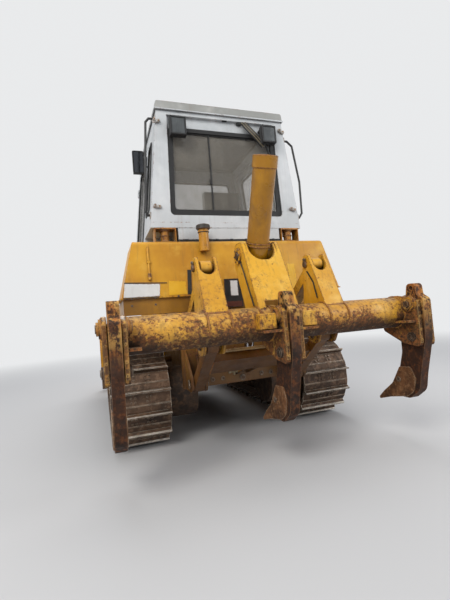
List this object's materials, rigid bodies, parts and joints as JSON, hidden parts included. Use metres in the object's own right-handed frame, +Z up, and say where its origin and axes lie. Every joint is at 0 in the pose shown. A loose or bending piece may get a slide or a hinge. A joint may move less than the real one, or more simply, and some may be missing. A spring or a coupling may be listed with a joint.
{
  "type": "crawler bulldozer",
  "caption": "Crawler bulldozer with a curved front blade on a push frame, an enclosed cab, and a rear ripper with curved shanks on a round beam.",
  "frame": {"origin": "on the ground under the middle of the whole machine", "axes": "+Y forward towards the blade, +X to the right, +Z up"},
  "size_m": [2.6, 5.0542, 3.25],
  "materials": {
    "yellow": "worn gloss",
    "white": "satin",
    "roof_grey": "matt",
    "track_steel": "worn and rusty",
    "worn_steel": "worn and rusty",
    "dark_metal": "matt",
    "seal_rubber": "matt",
    "rod_chrome": "polished",
    "window_glass": "tinted",
    "black_rail": "satin",
    "lamp_plastic": "matt",
    "cab_trim": "matt",
    "seat_cover": "woven"
  },
  "bodies": {
    "machine": {"air_cleaner": "dark_metal", "belly_guard": "yellow", "cab_fittings": "cab_trim", "cab_floor": "white", "cab_front_wall": "white", "cab_glass": "window_glass", "cab_mounts": "yellow", "cab_rear_seal": "seal_rubber", "cab_rear_wall": "white", "cab_roof": "roof_grey", "cab_sides": "white", "cross_tubes": "yellow", "engine_block": "dark_metal", "exhaust_stack": "dark_metal", "fuel_tank": "yellow", "grille": "dark_metal", "handrails": "black_rail", "hood": "yellow", "hood_sides": "yellow", "hull": "yellow", "lift_posts": "yellow", "mirror": "black_rail", "platform": "yellow", "radiator": "dark_metal", "radiator_guard": "yellow", "ripper_mount": "yellow", "seat": "seat_cover", "sprockets": "track_steel", "tank_fittings": "dark_metal", "track_frames": "yellow", "track_left": "track_steel", "track_right": "track_steel", "track_wheels": "track_steel", "work_lamps": "lamp_plastic"},
    "left_door": {"cab_door_left": "white", "door_glass_left": "window_glass"},
    "right_door": {"cab_door_right": "white", "door_glass_right": "window_glass"},
    "push_frame": {"blade_frame": "yellow"},
    "blade_unit": {"blade": "yellow", "cutting_edge": "worn_steel"},
    "lift_barrel_pair": {"lift_barrels": "yellow"},
    "lift_rod_pair": {"lift_rods": "rod_chrome"},
    "tilt_barrel_unit": {"tilt_barrel": "yellow"},
    "tilt_rod_unit": {"tilt_rod": "rod_chrome"},
    "lower_link_unit": {"lower_link": "yellow"},
    "upper_link_pair": {"upper_links": "yellow"},
    "ripper": {"ripper_arms": "yellow", "ripper_tower": "yellow", "ripper_beam": "yellow", "ripper_shanks": "worn_steel", "ripper_teeth": "worn_steel", "shank_pins": "worn_steel"},
    "ram_barrel_unit": {"ram_barrel": "yellow"},
    "ram_rod_unit": {"ram_rod": "rod_chrome"}
  },
  "joints": [
    {"name": "left_door_hinge", "type": "hinge", "parent": "machine", "child": "left_door", "pos_m": [-0.76809, -0.09, 2.275], "axis": [-0.1089, 0.0663, -0.9918], "range_deg": [0, 85]},
    {"name": "right_door_hinge", "type": "hinge", "parent": "machine", "child": "right_door", "pos_m": [0.76809, -0.09, 2.275], "axis": [-0.1089, -0.0663, 0.9918], "range_deg": [0, 85]},
    {"name": "blade_lift", "type": "hinge", "parent": "machine", "child": "push_frame", "pos_m": [0, -0.1325, 0.42], "axis": [1, 0, 0], "range_deg": [-8, 20]},
    {"name": "blade_tilt", "type": "hinge", "parent": "push_frame", "child": "blade_unit", "pos_m": [0, 2.0475, 0.42], "axis": [0, 1, 0], "range_deg": [-6, 6]},
    {"name": "lift_barrel_swing", "type": "hinge", "parent": "machine", "child": "lift_barrel_pair", "pos_m": [0, 0.7675, 1.45], "axis": [1, 0, 0], "range_deg": [-4.12, 10.01]},
    {"name": "lift_rod_slide", "type": "slide", "parent": "lift_barrel_pair", "child": "lift_rod_pair", "axis": [0, 0.4679, -0.8838], "range_m": [-0.45501, 0.1832]},
    {"name": "tilt_barrel_swing", "type": "hinge", "parent": "push_frame", "child": "tilt_barrel_unit", "pos_m": [0.43, 2.1275, 0.64], "axis": [0, 1, 0], "range_deg": [-2.97, 2.97]},
    {"name": "tilt_rod_slide", "type": "slide", "parent": "tilt_barrel_unit", "child": "tilt_rod_unit", "axis": [-0.9719, 0, 0.2356], "range_m": [-0.03499, 0.03499]},
    {"name": "ripper_lift", "type": "hinge", "parent": "machine", "child": "lower_link_unit", "pos_m": [0, -1.6025, 0.6], "axis": [1, 0, 0], "range_deg": [0, 60]},
    {"name": "ripper_level", "type": "hinge", "parent": "lower_link_unit", "child": "ripper", "pos_m": [0, -2.0925, 0.965], "axis": [1, 0, 0], "range_deg": [-60.2, 0.2]},
    {"name": "upper_link_swing", "type": "hinge", "parent": "machine", "child": "upper_link_pair", "pos_m": [0, -1.5825, 1.195], "axis": [1, 0, 0], "range_deg": [-0.2, 60.2]},
    {"name": "ram_barrel_swing", "type": "hinge", "parent": "ripper", "child": "ram_barrel_unit", "pos_m": [0, -1.9825, 1.66], "axis": [1, 0, 0], "range_deg": [-0.2, 33.68]},
    {"name": "ram_rod_slide", "type": "slide", "parent": "ram_barrel_unit", "child": "ram_rod_unit", "axis": [0, 0.4024, -0.9155], "range_m": [-0.41619, 0.002]}
  ],
  "couplings": [
    {"joint": "lift_barrel_swing", "follows": "blade_lift", "ratio": 0.49052},
    {"joint": "lift_rod_slide", "follows": "blade_lift", "m_per_rad": -1.2978},
    {"joint": "tilt_barrel_swing", "follows": "blade_tilt", "ratio": 0.46152},
    {"joint": "tilt_rod_slide", "follows": "blade_tilt", "m_per_rad": -0.31503},
    {"joint": "ripper_level", "follows": "ripper_lift", "ratio": -1},
    {"joint": "upper_link_swing", "follows": "ripper_lift", "ratio": 1},
    {"joint": "ram_barrel_swing", "follows": "ripper_lift", "ratio": 0.55799},
    {"joint": "ram_rod_slide", "follows": "ripper_lift", "m_per_rad": -0.39552}
  ]
}
